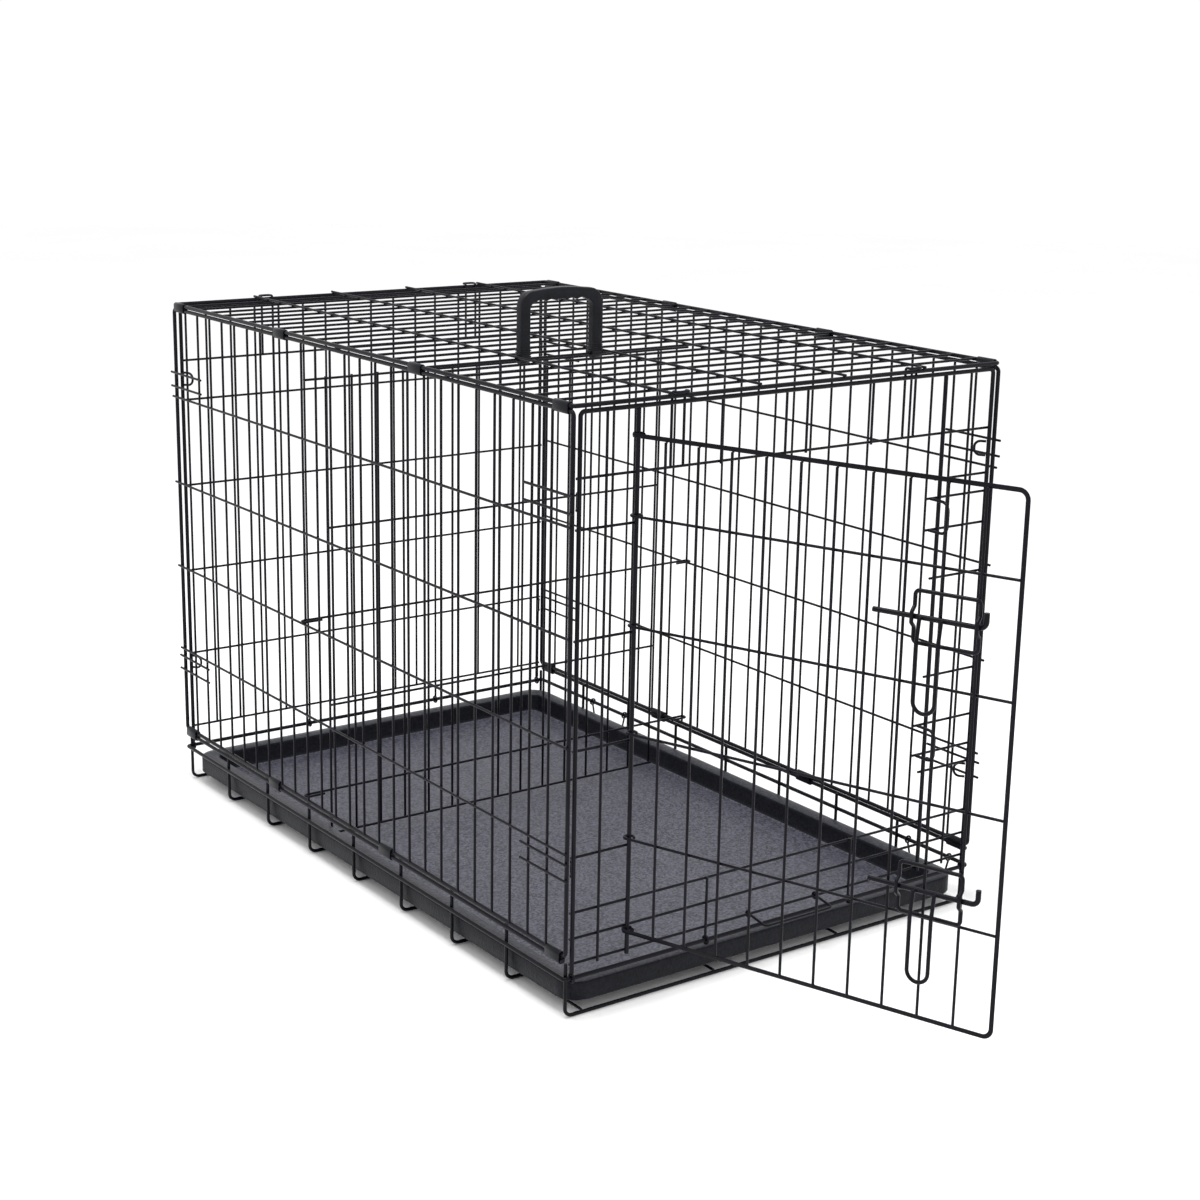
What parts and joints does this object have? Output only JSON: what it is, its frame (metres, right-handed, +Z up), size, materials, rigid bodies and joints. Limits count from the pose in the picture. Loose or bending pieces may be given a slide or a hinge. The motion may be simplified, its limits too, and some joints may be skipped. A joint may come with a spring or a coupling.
{
  "type": "wire dog crate",
  "caption": "Folding wire pet crate with a bolted swing door, hinged end panels, inner divider, slide-out pan and top carry handle.",
  "frame": {"origin": "on the floor under the middle of the wire base", "axes": "+Y from the door end to the far end, +Z up, +X across; the door hangs on the -X jamb of the -Y end"},
  "size_m": [0.5962, 1.304, 0.726],
  "materials": {
    "black_powder_coat": "gloss black powder coat on steel wire",
    "black_sheet_steel": "gloss black powder coat on folded sheet steel",
    "tray_plastic": "fine-textured dark grey moulded plastic",
    "handle_plastic": "satin black moulded plastic"
  },
  "bodies": {
    "crate": {"base_cross_wires": "black_powder_coat", "base_floor_wires": "black_powder_coat", "base_mid_rail": "black_powder_coat", "base_top_rails": "black_powder_coat", "left_side_frame": "black_powder_coat", "left_side_uprights": "black_powder_coat", "left_side_rails": "black_powder_coat", "left_side_ears": "black_powder_coat", "right_side_frame": "black_powder_coat", "right_side_uprights": "black_powder_coat", "right_side_rails": "black_powder_coat", "right_side_ears": "black_powder_coat", "top_frame": "black_powder_coat", "top_cross_wires": "black_powder_coat", "top_long_wires": "black_powder_coat", "top_hinge_sleeves": "black_sheet_steel", "bottom_hinge_sleeves": "black_sheet_steel"},
    "front_panel": {"front_frame": "black_powder_coat", "front_uprights": "black_powder_coat", "front_rails": "black_powder_coat", "front_hinge_rings": "black_powder_coat", "front_top_hooks": "black_powder_coat", "front_post_loops": "black_powder_coat", "front_door_jambs": "black_powder_coat", "front_bolt_keepers": "black_powder_coat"},
    "back_panel": {"back_frame": "black_powder_coat", "back_uprights": "black_powder_coat", "back_rails": "black_powder_coat", "back_hinge_rings": "black_powder_coat", "back_top_hooks": "black_powder_coat", "back_post_loops": "black_powder_coat"},
    "door": {"door_frame": "black_powder_coat", "door_rails": "black_powder_coat", "door_uprights": "black_powder_coat", "door_hinge_eyes": "black_powder_coat", "door_bolt_guides": "black_powder_coat"},
    "upper_bolt": {"upper_bolt_rod": "black_powder_coat", "upper_bolt_pull": "black_powder_coat"},
    "lower_bolt": {"lower_bolt_rod": "black_powder_coat", "lower_bolt_pull": "black_powder_coat"},
    "tray": {"tray": "tray_plastic"},
    "tray_stop": {"tray_stop": "black_powder_coat"},
    "divider": {"divider_uprights": "black_powder_coat", "divider_rails": "black_powder_coat", "divider_hook_rails": "black_powder_coat"},
    "carry_handle": {"carry_handle": "handle_plastic"},
    "front_storage_clip": {"front_storage_clip": "black_powder_coat"},
    "back_storage_clip": {"back_storage_clip": "black_powder_coat"}
  },
  "joints": [
    {"name": "front_panel_fold", "type": "hinge", "parent": "crate", "child": "front_panel", "pos_m": [0, -0.45, 0.046], "axis": [1, 0, 0], "range_deg": [-15, 0]},
    {"name": "back_panel_fold", "type": "hinge", "parent": "crate", "child": "back_panel", "pos_m": [0, 0.45, 0.046], "axis": [1, 0, 0], "range_deg": [0, 30]},
    {"name": "door_swing", "type": "hinge", "parent": "front_panel", "child": "door", "pos_m": [-0.2125, -0.45, 0.3505], "axis": [0, 0, 1], "range_deg": [-39, 70.4]},
    {"name": "upper_bolt_slide", "type": "slide", "parent": "door", "child": "upper_bolt", "axis": [0.3355, -0.9421, 0], "range_m": [0, 0.03]},
    {"name": "lower_bolt_slide", "type": "slide", "parent": "door", "child": "lower_bolt", "axis": [0.3355, -0.9421, 0], "range_m": [-0.01, 0.02]},
    {"name": "tray_slide", "type": "slide", "parent": "crate", "child": "tray", "axis": [0, -1, 0], "range_m": [0, 0.3]},
    {"name": "tray_stop_drop", "type": "hinge", "parent": "front_panel", "child": "tray_stop", "pos_m": [0, -0.44605, 0.06], "axis": [1, 0, 0], "range_deg": [0, 44]},
    {"name": "divider_lift", "type": "slide", "parent": "crate", "child": "divider", "axis": [0, 0, 1], "range_m": [0, 0.01]},
    {"name": "carry_handle_tilt", "type": "hinge", "parent": "crate", "child": "carry_handle", "pos_m": [-0.1165, -0.17308, 0.6489], "axis": [1, 0, 0], "range_deg": [-70, 70]},
    {"name": "front_storage_clip_swing", "type": "hinge", "parent": "crate", "child": "front_storage_clip", "pos_m": [0.29245, -0.385, 0.046], "axis": [0, 1, 0], "range_deg": [-140, 0]},
    {"name": "back_storage_clip_swing", "type": "hinge", "parent": "crate", "child": "back_storage_clip", "pos_m": [0.29245, 0.277, 0.046], "axis": [0, 1, 0], "range_deg": [-140, 0]}
  ]
}
